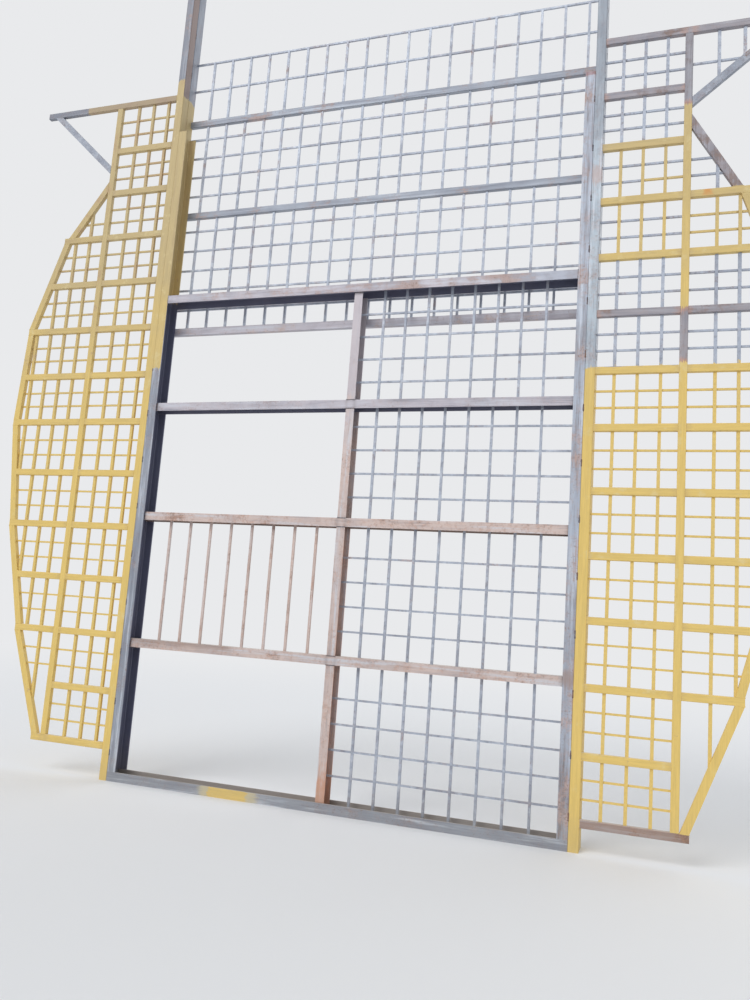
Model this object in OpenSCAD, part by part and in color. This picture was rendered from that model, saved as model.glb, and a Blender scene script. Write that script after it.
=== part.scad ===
// Lattice gate for an arched water portal: a channel-framed gate between two
// double box posts, a fixed screen above it and a lattice wing on each side.
// Front faces look towards -Y. The origin is the middle of the sill's underside.

/* [Opening] */
// Clear width between the lips of the two guide channels
opening_w = 3810; // [2600:10:4600]
// Underside of the lintel above the sill's underside
lintel_z = 4400; // [4100:10:4800]
// Centre height of the lower rail
rail_lower_z = 1208; // [900:10:1500]
// Centre height of the middle rail
rail_middle_z = 2360; // [2000:10:2700]
// Centre height of the upper rail
rail_upper_z = 3390; // [3050:10:3700]

/* [Sill and lintel] */
// Height of the sill channel
sill_h = 80; // [60:5:140]
// Web thickness of the sill channel
sill_web = 8; // [6:1:12]
// Height of the lintel channel
lintel_h = 75; // [60:5:120]
// Web thickness of the lintel channel
lintel_web = 8; // [6:1:12]
// Flange thickness of the lintel channel
lintel_flange = 10; // [7:1:14]

/* [Rails and stile] */
// Height of a rail channel, and width of the middle stile
rail_h = 75; // [60:5:110]
// Depth of a rail channel, front to back
rail_d = 140; // [110:5:150]
// Web thickness of a rail channel
rail_web = 7; // [5:1:12]
// Flange thickness of a rail channel
rail_flange = 9; // [6:1:14]
// Root radius inside every channel
root_r = 9; // [5:1:12]
// How far the middle stile stands to the right of the opening's middle
stile_shift = 25; // [0:1:60]

/* [Guide channels] */
// Flange width of a guide channel
guide_w = 80; // [60:5:110]
// Depth of a guide channel, front to back, and of the sill and the lintel
guide_d = 180; // [170:5:240]
// Web thickness of a guide channel
guide_web = 8; // [6:1:12]
// Flange thickness of a guide channel, and of the sill
guide_flange = 11; // [7:1:14]
// Height of the left guide channel's cut top
guide_top_z = 6175; // [5900:5:6400]
// How much higher the right guide channel ends
guide_right_extra = 40; // [0:5:120]

/* [Box posts] */
// Width of a box post
post_w = 80; // [60:5:120]
// Depth of the front box of a post
post_front_d = 100; // [80:5:120]
// Depth of the rear box of a post
post_rear_d = 115; // [90:5:140]
// Wall of a post box
post_wall = 5; // [3:0.5:8]
// Outside corner radius of a post box
post_r = 8; // [6:1:14]
// Height of the posts
post_top_z = 8200; // [7600:20:9000]

/* [Gate lattice] */
// Upright bars in each bay of the gate
bay_bars = 8; // [4:1:8]
// First upright bar of the right bay, measured from the stile
right_bay_first = 188; // [100:1:260]
// Last bar of the right bay's two lower rows, measured from the right lip
right_bay_last_low = 215; // [100:1:300]
// Last bar of the right bay's two upper rows, measured from the right lip
right_bay_last_high = 250; // [100:1:300]
// First upright bar of the left bay, measured from the stile
left_bay_first = 205; // [100:1:260]
// Last bar of the left bay, measured from the left lip
left_bay_last = 245; // [100:1:300]
// Cross bars in each row of the right bay
row_bars = 4; // [2:1:4]
// Spacing of the cross bars in every row
row_pitch = 206; // [150:1:215]
// First cross bar above the sill
row_first_bottom = 205; // [120:1:210]
// First cross bar above the lower rail
row_first_lower = 205; // [120:1:210]
// First cross bar above the middle rail
row_first_upper = 188; // [120:1:205]
// First cross bar above the upper rail
row_first_top = 173; // [120:1:200]
// Thickness of an upright bar
bar_w = 20; // [12:1:30]
// Thickness of a cross bar
cross_w = 16; // [10:1:20]

/* [Upper screen] */
// Upright bars in the upper screen
screen_bars = 19; // [8:1:24]
// First upright bar of the screen, measured from the left post
screen_first = 195; // [60:5:220]
// Last upright bar of the screen, measured from the right post
screen_last = 85; // [60:5:220]
// Height of the screen's middle and high rails
screen_rail_h = 65; // [50:5:90]
// Height of the screen's low rail, behind the lintel
screen_low_h = 75; // [50:5:90]
// Depth of a screen rail, front to back
screen_rail_d = 40; // [30:5:60]
// Wall of a screen rail
screen_rail_wall = 4; // [2.5:0.5:6]
// Outside corner radius of a screen rail
screen_rail_r = 6; // [5:1:10]
// Centre height of the screen's low rail
screen_low_z = 4175; // [4100:1:4250]
// Centre height of the screen's middle rail
screen_mid_z = 5370; // [5300:2:5450]
// Centre height of the screen's high rail
screen_high_z = 6359; // [6300:1:6420]
// Cross bars under the middle rail
screen_cross_low = 5; // [2:1:5]
// Highest cross bar under the middle rail, measured down from the rail's centre
screen_first_low = 162; // [100:1:180]
// Cross bars under the high rail
screen_cross_high = 4; // [2:1:4]
// Highest cross bar under the high rail, measured down from the rail's centre
screen_first_high = 170; // [100:1:190]
// Spacing of the screen's cross bars
screen_row_pitch = 203; // [150:1:210]
// Rise from the high rail's centre to the cross bar above it
screen_upper_rise = 369; // [250:1:450]
// Rise from that cross bar to the screen's top bar
screen_top_rise = 297; // [200:1:400]

/* [Wings] */
// Face width of a wing tube
wing_w = 60; // [45:5:70]
// Depth of a wing tube, front to back
wing_d = 40; // [30:2:60]
// Wall of a wing tube
wing_wall = 3; // [2:0.5:5]
// Outside corner radius of a wing tube
wing_r = 5; // [4:0.5:8]
// How much lower the right wing hangs
wing_right_drop = 84; // [0:2:120]
// Clear width between a post and its wing's mullion
wing_inner_w = 620; // [560:5:700]
// Upright bars between a post and its wing's mullion
wing_bars = 3; // [2:1:3]
// Thickness of a wing's upright bar
wing_bar_w = 25; // [14:1:28]
// Spacing of a wing's upright bars between post and mullion
wing_bar_pitch = 172; // [140:1:180]
// First upright bar from the left post
wing_first_left = 92; // [60:2:160]
// First upright bar from the right post
wing_first_right = 144; // [60:2:170]
// Spacing of a wing's upright bars outside the mullion
wing_outer_pitch = 165; // [140:1:180]
// First outer upright bar from the left mullion
wing_outer_first_left = 160; // [100:2:200]
// First outer upright bar from the right mullion
wing_outer_first_right = 196; // [100:2:210]

/* [Wing rails] */
// Height of the left wing's bottom rail, at its centre
wing_foot_z = 290; // [200:1:380]
// Rise from the bottom rail to the second
wing_rise_1 = 475; // [400:1:560]
// Rise from the second rail to the third
wing_rise_2 = 498; // [400:1:560]
// Rise from the third rail to the fourth
wing_rise_3 = 496; // [400:1:560]
// Rise from the fourth rail to the fifth
wing_rise_4 = 491; // [400:1:560]
// Rise from the fifth rail to the sixth
wing_rise_5 = 501; // [400:1:560]
// Rise from the sixth rail to the seventh
wing_rise_6 = 499; // [400:1:560]
// Rise from the seventh rail to the eighth
wing_rise_7 = 460; // [400:1:560]
// Rise from the eighth rail to the ninth
wing_rise_8 = 468; // [400:1:560]
// Rise from the ninth rail to the tenth
wing_rise_9 = 472; // [400:1:560]
// Rise from the tenth rail to the eleventh
wing_rise_10 = 478; // [400:1:560]
// Rise from the eleventh rail to the twelfth
wing_rise_11 = 471; // [400:1:560]
// Rise from the twelfth rail to the thirteenth
wing_rise_12 = 455; // [400:1:560]
// Rise from the thirteenth rail to the top rail
wing_rise_13 = 498; // [400:1:560]

/* [Wing outline] */
// Reach of the left wing's edge from the post at the foot
reach_foot_left = 780; // [760:5:860]
// Reach of the right wing's edge from the post at the foot
reach_foot_right = 748; // [740:2:860]
// Reach of the left wing's edge at the third rail
reach_low_left = 1117; // [1000:1:1200]
// Reach of the right wing's edge at the third rail
reach_low_right = 1100; // [1000:5:1200]
// Reach of the edge at the fifth rail
reach_hip = 1345; // [1250:5:1400]
// Reach of the edge at the seventh rail
reach_waist = 1464; // [1410:5:1520]
// Reach of the edge at the ninth rail
reach_chest = 1421; // [1320:5:1500]
// Reach of the left wing's edge at the eleventh rail
reach_shoulder_left = 1127; // [1040:1:1220]
// Reach of the right wing's edge at the eleventh rail
reach_shoulder_right = 1109; // [1040:1:1220]
// How far the eleventh rail runs past the foot of the edge's top tube
shoulder_inset = 50; // [0:2:70]
// Rise from the twelfth rail to the end of the left edge's top tube on the mullion
edge_top_rise_left = 124; // [60:1:240]
// Rise from the twelfth rail to the end of the right edge's top tube on the mullion
edge_top_rise_right = 208; // [60:1:240]
// Rise from the twelfth rail to the left corner strut's foot on the mullion
strut_rise_left = 257; // [240:1:340]
// Rise from the twelfth rail to the right corner strut's foot on the mullion
strut_rise_right = 321; // [320:1:400]
// Reach of the corner strut where it meets the top rail
strut_reach = 1402; // [1150:5:1450]
// Reach of the top rail
top_reach = 1535; // [1500:5:1650]
// Height of the right corner's cross bar, under the top rail
corner_cross_drop = 263; // [150:1:320]
// Upright bars in the right corner
corner_bars = 2; // [1:1:2]
// Spacing of the right corner's upright bars
corner_pitch = 190; // [140:2:220]

/* [Hidden] */
$fn = 32;

yellow = "#e8c53f";
dull_yellow = "#d3b95f";
bare_steel = "#a9abb6";
rusty_steel = "#b9a08f";
blue_steel = "#98a0ae";

// Allowance by which a cut passes the face that it opens
cut = 1;

// Places that the pieces share
front_y = -guide_d / 2;
lip_x = opening_w / 2;
post_in_x = lip_x + guide_w;
post_out_x = post_in_x + post_w;
stile_x = stile_shift - rail_h / 2;
rail_y = -rail_d / 2;
screen_y = front_y + guide_d;
screen_mid_y = screen_y + screen_rail_d / 2;
wing_mid_y = front_y + wing_d / 2;
wing_back_y = front_y + wing_d;
wing_bar_y = wing_back_y - wing_bar_w / 2;
wing_cross_y = wing_back_y - cross_w / 2;
mullion_in = wing_inner_w;
mullion_out = mullion_in + wing_w;

// Wing rails, from the bottom up; the edge bends at some of them
wing_rises = [
    wing_foot_z, wing_rise_1, wing_rise_2, wing_rise_3, wing_rise_4, wing_rise_5, wing_rise_6,
    wing_rise_7, wing_rise_8, wing_rise_9, wing_rise_10, wing_rise_11, wing_rise_12, wing_rise_13];
top_rail_n = len(wing_rises) - 1;
kink_rails = [0, 2, 4, 6, 8, 10];
last_kink = kink_rails[len(kink_rails) - 1];
left_reach = [
    reach_foot_left, reach_low_left, reach_hip, reach_waist, reach_chest, reach_shoulder_left];
right_reach = [
    reach_foot_right, reach_low_right, reach_hip, reach_waist, reach_chest, reach_shoulder_right];
function wing_z(n) = wing_rises[n] + (n > 0 ? wing_z(n - 1) : 0);
function rail_top(n) = wing_z(n) + wing_w / 2;
function rail_under(n) = wing_z(n) - wing_w / 2;
// Height of a row's cross bar: they stand at thirds of the clear gap
function row_cross(n, i) = rail_top(n) + i * (rail_under(n + 1) - rail_top(n)) / 3;

// Where the edges and the corner struts meet the mullions, above the last rail below them
left_edge_top = wing_z(last_kink + 1) + edge_top_rise_left;
right_edge_top = wing_z(last_kink + 1) + edge_top_rise_right;
left_strut_foot = wing_z(last_kink + 1) + strut_rise_left;
right_strut_foot = wing_z(last_kink + 1) + strut_rise_right;

// Ends of the edge tube between two kinks: its outer corners, low and high
function edge_low(reach, k) = [reach[k], rail_top(kink_rails[k])];
function edge_high(reach, k) = [reach[k + 1], rail_under(kink_rails[k + 1])];
// Width of a tube of face width w, measured level, where it leans from a to b
function level_width(a, b, w) = w / cos(atan2(b[0] - a[0], b[1] - a[1]));
function edge_level(reach, k) = level_width(edge_low(reach, k), edge_high(reach, k), wing_w);

// The shoulder tube leans from the last kink in to the mullion, up to a height top
function shoulder_low(reach) = [reach[len(reach) - 1] - shoulder_inset, rail_top(last_kink)];
function shoulder_high(top) = [mullion_out, top];
function shoulder_slope(reach, top) = (top - shoulder_low(reach)[1])
    / (shoulder_low(reach)[0] - mullion_out);
function shoulder_level(reach, top) = level_width(shoulder_low(reach), shoulder_high(top), wing_w);

// Plain outline of a rolled box section, with round corners
module round_rect(w, h, r) {
    translate([r, 0]) square([w - 2 * r, h]);
    translate([0, r]) square([w, h - 2 * r]);
    for (x = [r, w - r], y = [r, h - r]) translate([x, y]) circle(r);
}

// Box section: w by h outside, with its wall and its outside corner radius
module box_section(w, h, wall, r) {
    difference() {
        round_rect(w, h, r);
        translate([wall, wall]) round_rect(w - 2 * wall, h - 2 * wall, r - wall);
    }
}

// Channel section: web along the left edge, flanges to the right, round roots
module channel_section(w, d, web, flange) {
    difference() {
        square([w, d]);
        translate([web + root_r, flange]) square([w - web - root_r + cut, d - 2 * flange]);
        translate([web, flange + root_r]) square([root_r + cut, d - 2 * flange - 2 * root_r]);
        for (y = [flange + root_r, d - flange - root_r]) translate([web + root_r, y]) circle(root_r);
    }
}

// Upright member from z0 to z1
module upright(x, y, z0, z1) {
    translate([x, y, z0]) linear_extrude(z1 - z0) children();
}

// Rail channel from lip to web of both guides, with its web on top
module gate_rail(z) {
    reach = post_in_x - guide_web;
    translate([-reach, rail_y, z + rail_h / 2]) rotate([0, 90, 0])
        linear_extrude(2 * reach) channel_section(rail_h, rail_d, rail_web, rail_flange);
}

// Lattice: upright bars at xs from z0 to z1, and cross bars at zs from x0 to x1.
// Each set has the depth of its own middle and its own thickness.
module lattice(xs, z0, z1, zs, x0, x1, bar_y, bar, cross_y, cross) {
    for (x = xs) translate([x - bar / 2, bar_y - bar / 2, z0]) cube([bar, bar, z1 - z0]);
    for (z = zs) translate([x0, cross_y - cross / 2, z - cross / 2]) cube([x1 - x0, cross, cross]);
}

// Sill and lintel
module sill_beam() color(blue_steel)
    translate([post_in_x, front_y, 0]) rotate([0, -90, 0])
        linear_extrude(2 * post_in_x) channel_section(sill_h, guide_d, sill_web, guide_flange);

module lintel() color(bare_steel)
    translate([-lip_x, front_y, lintel_z + lintel_h]) rotate([0, 90, 0])
        linear_extrude(opening_w) channel_section(lintel_h, guide_d, lintel_web, lintel_flange);

module rail_lower() color(rusty_steel) gate_rail(rail_lower_z);
module rail_middle() color(rusty_steel) gate_rail(rail_middle_z);
module rail_upper() color(bare_steel) gate_rail(rail_upper_z);

// Middle stile in four lengths, its open side to the right
row_floor = [sill_web, rail_lower_z + rail_h / 2, rail_middle_z + rail_h / 2, rail_upper_z + rail_h / 2];
row_ceiling = [rail_lower_z - rail_h / 2, rail_middle_z - rail_h / 2, rail_upper_z - rail_h / 2, lintel_z];
module middle_stile() color(rusty_steel)
    for (row = [0 : 3]) upright(stile_x, rail_y, row_floor[row], row_ceiling[row])
        channel_section(rail_h, rail_d, rail_web, rail_flange);

// Guide channels stand on the sill, with their open sides to the opening
module guide(top) upright(-post_in_x, front_y, sill_h, top)
    channel_section(guide_w, guide_d, guide_web, guide_flange);
module left_guide() color(blue_steel) guide(guide_top_z);
module right_guide() color(blue_steel) mirror([1, 0, 0]) guide(guide_top_z + guide_right_extra);

// Box posts, two boxes deep
module post_box(y, d) upright(-post_out_x, y, 0, post_top_z) box_section(post_w, d, post_wall, post_r);
module left_post_front() color(yellow) post_box(front_y, post_front_d);
module left_post_rear() color(bare_steel) post_box(front_y + post_front_d, post_rear_d);
module right_post_front() color(yellow) mirror([1, 0, 0]) post_box(front_y, post_front_d);
module right_post_rear() color(bare_steel) mirror([1, 0, 0]) post_box(front_y + post_front_d, post_rear_d);

// Upper screen, between the posts and behind the guides and the lintel
screen_pitch = (2 * post_in_x - screen_first - screen_last) / (screen_bars - 1);
screen_xs = [for (i = [0 : screen_bars - 1]) -post_in_x + screen_first + i * screen_pitch];
module screen_rail(z, h) color(bare_steel)
    translate([-post_in_x, screen_y, z + h / 2]) rotate([0, 90, 0])
        linear_extrude(2 * post_in_x)
            box_section(h, screen_rail_d, screen_rail_wall, screen_rail_r);
module screen_grid(z0, z1, zs) color(bare_steel)
    lattice(screen_xs, z0, z1, zs, -post_in_x, post_in_x, screen_mid_y, bar_w, screen_mid_y, cross_w);

module screen_rail_low() screen_rail(screen_low_z, screen_low_h);
module screen_rail_mid() screen_rail(screen_mid_z, screen_rail_h);
module screen_rail_high() screen_rail(screen_high_z, screen_rail_h);
module screen_grid_low() screen_grid(
    screen_low_z + screen_low_h / 2, screen_mid_z - screen_rail_h / 2,
    [for (i = [0 : screen_cross_low - 1]) screen_mid_z - screen_first_low - i * screen_row_pitch]);
module screen_grid_mid() screen_grid(
    screen_mid_z + screen_rail_h / 2, screen_high_z - screen_rail_h / 2,
    [for (i = [0 : screen_cross_high - 1]) screen_high_z - screen_first_high - i * screen_row_pitch]);
screen_upper_z = screen_high_z + screen_upper_rise;
screen_top_z = screen_upper_z + screen_top_rise;
module screen_grid_top() screen_grid(
    screen_high_z + screen_rail_h / 2, screen_top_z, [screen_upper_z, screen_top_z]);

// Gate lattice: bars run up into each channel as far as its web
right_bay_w = lip_x - stile_x - rail_h;
function right_bay_xs(last) = [for (i = [0 : bay_bars - 1]) stile_x + rail_h + right_bay_first
    + i * (right_bay_w - right_bay_first - last) / (bay_bars - 1)];
left_bay_w = lip_x + stile_x;
left_bay_xs = [for (i = [0 : bay_bars - 1]) stile_x - left_bay_first
    - i * (left_bay_w - left_bay_first - left_bay_last) / (bay_bars - 1)];
row_first = [
    sill_h - sill_web + row_first_bottom, row_first_lower, row_first_upper, row_first_top];
row_web = [for (row = [0 : 3]) row_ceiling[row] + (row == 3 ? lintel_h - lintel_web : rail_h - rail_web)];
module gate_grid(row) color(bare_steel) lattice(
    right_bay_xs(row < 2 ? right_bay_last_low : right_bay_last_high), row_floor[row], row_web[row],
    [for (i = [0 : row_bars - 1]) row_floor[row] + row_first[row] + i * row_pitch],
    stile_x + rail_web, post_in_x - guide_web, 0, bar_w, 0, cross_w);
module gate_grid_bottom() gate_grid(0);
module gate_grid_lower() gate_grid(1);
module gate_grid_upper() gate_grid(2);
module gate_grid_top() gate_grid(3);

// The left bay has only the upright bars of its second row
module left_bay_bars() color(bare_steel) lattice(
    left_bay_xs, row_floor[1], row_web[1], [], 0, 0, 0, bar_w, 0, cross_w);

// A wing is drawn from the post outwards: x is reach, the second axis is height
module on_left() translate([-post_out_x, 0, 0]) mirror([1, 0, 0]) children();
module on_right() translate([post_out_x, 0, -wing_right_drop]) children();

// Flat shape of the wing's plane, raised to a thickness about the tubes' middle
module wing_plate(thickness) translate([0, wing_mid_y + thickness / 2, 0]) rotate([90, 0, 0])
    linear_extrude(thickness) children();

module wing_tube(u0, u1, z) translate([u0, front_y, z + wing_w / 2]) rotate([0, 90, 0])
    linear_extrude(u1 - u0) box_section(wing_w, wing_d, wing_wall, wing_r);

module wing_mullion() upright(mullion_in, front_y, rail_top(0), rail_under(top_rail_n))
    box_section(wing_w, wing_d, wing_wall, wing_r);
module wing_top_rail() wing_tube(0, top_reach, wing_z(top_rail_n));
module wing_bottom_rail(reach) wing_tube(0, reach[0], wing_z(0));
module wing_inner_rails() for (n = [1 : top_rail_n - 1]) wing_tube(0, mullion_in, wing_z(n));

// Leaning box tube from a to b: its outer line runs from a to b, its ends are level
module leaning(a, b, in, over) {
    run = (b[0] - a[0]) / (b[1] - a[1]);
    wide = level_width(a, b, wing_w);
    side = level_width(a, b, in);
    polygon([
        [a[0] - side - run * over, a[1] - over],
        [b[0] - side + run * over, b[1] + over],
        [b[0] - wide + side + run * over, b[1] + over],
        [a[0] - wide + side - run * over, a[1] - over]
    ]);
}
module leaning_tube(a, b) difference() {
    wing_plate(wing_d) leaning(a, b, 0, 0);
    wing_plate(wing_d - 2 * wing_wall) leaning(a, b, wing_wall, cut);
}

// Shoulder tube: level end on the last kink rail, upright end on the mullion
module shoulder(reach, top, in, over) {
    slope = shoulder_slope(reach, top);
    wide = shoulder_level(reach, top);
    low = shoulder_low(reach);
    side = in * wide / wing_w;
    rise = in / cos(atan(slope));
    drop = wing_w / cos(atan(slope));
    polygon([
        [low[0] - side + over / slope, low[1] - over],
        [mullion_out - over, top - rise + over * slope],
        [mullion_out - over, top - drop + rise + over * slope],
        [low[0] - wide + side + over / slope, low[1] - over]
    ]);
}
module wing_edge(reach, top) {
    for (k = [0 : len(kink_rails) - 2]) leaning_tube(edge_low(reach, k), edge_high(reach, k));
    difference() {
        wing_plate(wing_d) shoulder(reach, top, 0, 0);
        wing_plate(wing_d - 2 * wing_wall) shoulder(reach, top, wing_wall, cut);
    }
}

// Room between the mullion and the edge, where the outer rails and bars end
function inner_line(reach) = [for (k = [0 : len(kink_rails) - 2])
    each [edge_low(reach, k) - [edge_level(reach, k), 0],
          edge_high(reach, k) - [edge_level(reach, k), 0]]];
module wing_room(reach, top) polygon(concat(
    [[mullion_out, rail_top(0)]],
    inner_line(reach),
    [shoulder_low(reach) - [shoulder_level(reach, top), 0],
     [mullion_out, top - wing_w / cos(atan(shoulder_slope(reach, top)))]]));
// Reach of that room at a height
function room_line(reach, top) = concat(inner_line(reach), [
    shoulder_low(reach) - [shoulder_level(reach, top), 0],
    shoulder_high(top) - [shoulder_level(reach, top), 0]]);
function room_reach(reach, top, z) = lookup(z, [for (p = room_line(reach, top)) [p[1], p[0]]]);

// Outer rails: those at the kinks run out to the edge's corner, the others end on the edge
module wing_outer_rails(reach, top) {
    for (k = [1 : len(kink_rails) - 1]) wing_tube(mullion_out, reach[k], wing_z(kink_rails[k]));
    for (k = [1 : len(kink_rails) - 2]) intersection() {
        wing_tube(mullion_out, reach_waist, wing_z(kink_rails[k] + 1));
        wing_plate(2 * wing_d) wing_room(reach, top);
    }
}

// Bars of one row between two wing rails, flush with the back of the tubes
module wing_cell(xs, n, foot_z, u0, u1, crosses) lattice(
    xs, foot_z, rail_under(n + 1), [for (i = crosses) row_cross(n, i)],
    u0, u1, wing_bar_y, wing_bar_w, wing_cross_y, cross_w);
module wing_inner_grid(first) {
    xs = [for (i = [0 : wing_bars - 1]) first + i * wing_bar_pitch];
    for (n = [0 : top_rail_n - 1]) wing_cell(xs, n, rail_top(n), 0, mullion_in, [1, 2]);
}
// Outer bars stand where they clear the edge at their row's lower cross bar, and
// those of the lowest row run on down to the leaning tube
module wing_outer_grid(reach, top, first, low_crosses, top_crosses) intersection() {
    for (n = [kink_rails[1] - 1 : last_kink]) {
        lowest = n < kink_rails[1];
        clear = room_reach(reach, top, row_cross(n, 1)) - wing_bar_w / 2;
        wing_cell(
            [for (u = [mullion_out + first : wing_outer_pitch : clear]) u],
            n, rail_top(lowest ? 0 : n), mullion_out, reach_waist,
            lowest ? low_crosses : n < last_kink ? [1, 2] : top_crosses);
    }
    wing_plate(2 * wing_d) wing_room(reach, top);
}

// Corner strut: from its foot on the mullion up to the top rail's underside
strut_top = rail_under(top_rail_n);
function strut_angle(foot) = atan2(strut_top - foot, strut_reach - mullion_out);
module strut_shape(foot, in, over) {
    angle = strut_angle(foot);
    rise = (wing_w / 2 - in) / cos(angle);
    run = (wing_w / 2 - in) / sin(angle);
    climb = over * tan(angle);
    slide = over / tan(angle);
    polygon([
        [mullion_out - over, foot - rise - climb],
        [mullion_out - over, foot + rise - climb],
        [strut_reach - run + slide, strut_top + over],
        [strut_reach + run + slide, strut_top + over]
    ]);
}
module wing_strut(foot) difference() {
    wing_plate(wing_d) strut_shape(foot, 0, 0);
    wing_plate(wing_d - 2 * wing_wall) strut_shape(foot, wing_wall, cut);
}

// Bars of the right corner, between the strut and the top rail
module wing_corner_grid(first, foot) intersection() {
    lattice([for (i = [0 : corner_bars - 1]) mullion_out + first + i * corner_pitch],
        foot, strut_top, [strut_top - corner_cross_drop], mullion_out, strut_reach,
        wing_bar_y, wing_bar_w, wing_cross_y, cross_w);
    wing_plate(2 * wing_d) polygon([
        [mullion_out, foot + wing_w / 2 / cos(strut_angle(foot))],
        [strut_reach - wing_w / 2 / sin(strut_angle(foot)), strut_top],
        [mullion_out, strut_top]
    ]);
}

module left_wing_mullion() color(yellow) on_left() wing_mullion();
module left_wing_top_rail() color(dull_yellow) on_left() wing_top_rail();
module left_wing_bottom_rail() color(yellow) on_left() wing_bottom_rail(left_reach);
module left_wing_strut() color(bare_steel) on_left() wing_strut(left_strut_foot);
module left_wing_edge() color(yellow) on_left() wing_edge(left_reach, left_edge_top);
module left_wing_inner_rails() color(yellow) on_left() wing_inner_rails();
module left_wing_outer_rails() color(yellow) on_left() wing_outer_rails(left_reach, left_edge_top);
module left_wing_inner_grid() color(yellow) on_left() wing_inner_grid(wing_first_left);
module left_wing_outer_grid() color(yellow) on_left()
    wing_outer_grid(left_reach, left_edge_top, wing_outer_first_left, [1, 2], [1]);
module right_wing_mullion() color(yellow) on_right() wing_mullion();
module right_wing_top_rail() color(rusty_steel) on_right() wing_top_rail();
module right_wing_bottom_rail() color(rusty_steel) on_right() wing_bottom_rail(right_reach);
module right_wing_strut() color(bare_steel) on_right() wing_strut(right_strut_foot);
module right_wing_edge() color(yellow) on_right() wing_edge(right_reach, right_edge_top);
module right_wing_inner_rails() color(yellow) on_right() wing_inner_rails();
module right_wing_outer_rails() color(yellow) on_right()
    wing_outer_rails(right_reach, right_edge_top);
module right_wing_inner_grid() color(yellow) on_right() wing_inner_grid(wing_first_right);
module right_wing_outer_grid() color(yellow) on_right()
    wing_outer_grid(right_reach, right_edge_top, wing_outer_first_right, [], [1, 2]);
module right_wing_corner_grid() color(bare_steel) on_right()
    wing_corner_grid(wing_outer_first_right, right_strut_foot);

sill_beam();
lintel();
rail_lower();
rail_middle();
rail_upper();
middle_stile();
left_guide();
right_guide();
left_post_front();
left_post_rear();
right_post_front();
right_post_rear();
screen_rail_low();
screen_rail_mid();
screen_rail_high();
screen_grid_low();
screen_grid_mid();
screen_grid_top();
gate_grid_bottom();
gate_grid_lower();
gate_grid_upper();
gate_grid_top();
left_bay_bars();
left_wing_mullion();
left_wing_top_rail();
left_wing_bottom_rail();
left_wing_strut();
left_wing_edge();
left_wing_inner_rails();
left_wing_outer_rails();
left_wing_inner_grid();
left_wing_outer_grid();
right_wing_mullion();
right_wing_top_rail();
right_wing_bottom_rail();
right_wing_strut();
right_wing_edge();
right_wing_inner_rails();
right_wing_outer_rails();
right_wing_inner_grid();
right_wing_outer_grid();
right_wing_corner_grid();
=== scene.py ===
"""Looks for a steel lattice gate with a fixed screen above it and a wing on each side.

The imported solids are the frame. This script adds the weld beads and tacks, the
brushed yellow paint with its ragged ends, the bare and rusty steel, and the studio.
"""

import math
from collections import namedtuple

import bmesh
import bpy
import mathutils
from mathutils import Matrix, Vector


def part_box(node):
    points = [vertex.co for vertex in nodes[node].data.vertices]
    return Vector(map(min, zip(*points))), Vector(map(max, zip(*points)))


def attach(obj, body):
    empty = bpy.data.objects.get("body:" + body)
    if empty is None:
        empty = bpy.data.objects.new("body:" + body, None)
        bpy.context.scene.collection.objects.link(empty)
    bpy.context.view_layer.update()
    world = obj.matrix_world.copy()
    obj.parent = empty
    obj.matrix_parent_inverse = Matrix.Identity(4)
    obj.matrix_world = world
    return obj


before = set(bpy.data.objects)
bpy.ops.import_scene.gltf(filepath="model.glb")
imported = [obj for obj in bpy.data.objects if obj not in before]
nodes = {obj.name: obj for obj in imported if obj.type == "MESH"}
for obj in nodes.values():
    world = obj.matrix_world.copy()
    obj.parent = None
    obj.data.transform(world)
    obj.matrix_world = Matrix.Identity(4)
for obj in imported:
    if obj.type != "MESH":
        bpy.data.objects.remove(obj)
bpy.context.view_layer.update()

# Places that the frame gives, in metres
LIP_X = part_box("lintel")[1].x
POST_IN_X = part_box("right_post_front")[0].x
POST_OUT_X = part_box("right_post_front")[1].x
MULLION_IN_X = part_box("right_wing_mullion")[0].x
MULLION_OUT_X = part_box("right_wing_mullion")[1].x
STILE_X = (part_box("middle_stile")[0].x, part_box("middle_stile")[1].x)
FRONT_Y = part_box("sill_beam")[0].y
BOX_JOINT_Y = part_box("left_post_front")[1].y
LINTEL_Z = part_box("lintel")[0].z
GUIDE_TOP_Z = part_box("right_guide")[1].z
LOWER_RAIL_Z = (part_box("rail_lower")[0].z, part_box("rail_lower")[1].z)
RAIL_NAMES = ("rail_lower", "rail_middle", "rail_upper")
SIDES = {"left": -1.0, "right": 1.0}

# Where the paint ends, in metres
LEFT_POST_PAINT_TOP = 6.74
LEFT_POST_SIDE_PAINT_TOP = 6.57
LEFT_GUIDE_PAINT_FOOT = 3.76
LEFT_GUIDE_SIDE_PAINT_FOOT = LINTEL_Z + 0.06
RIGHT_POST_PAINT_TOP = 3.655
LEFT_TOP_RAIL_PAINT_END = -3.105
SILL_PATCH = (-1.06, -0.552)
SILL_PATCH_CORE = (-0.98, -0.62)
RIGHT_RAIL_BAND = (4.33, 5.74)
RIGHT_MULLION_BAND = (4.115, 5.82)
RIGHT_BAR_BAND = (4.56, 5.51)
RIGHT_LOW_PAINT_TOP = 3.665
RIGHT_EDGE_PAINT_TOP = 5.07
PAINTED_INNER_BAR_X = (2.39, 2.7)
PAINTED_INNER_BAR_Z = (5.08, 5.29)
PAINTED_OUTER_BAR_Z = (4.56, 5.07)

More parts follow.
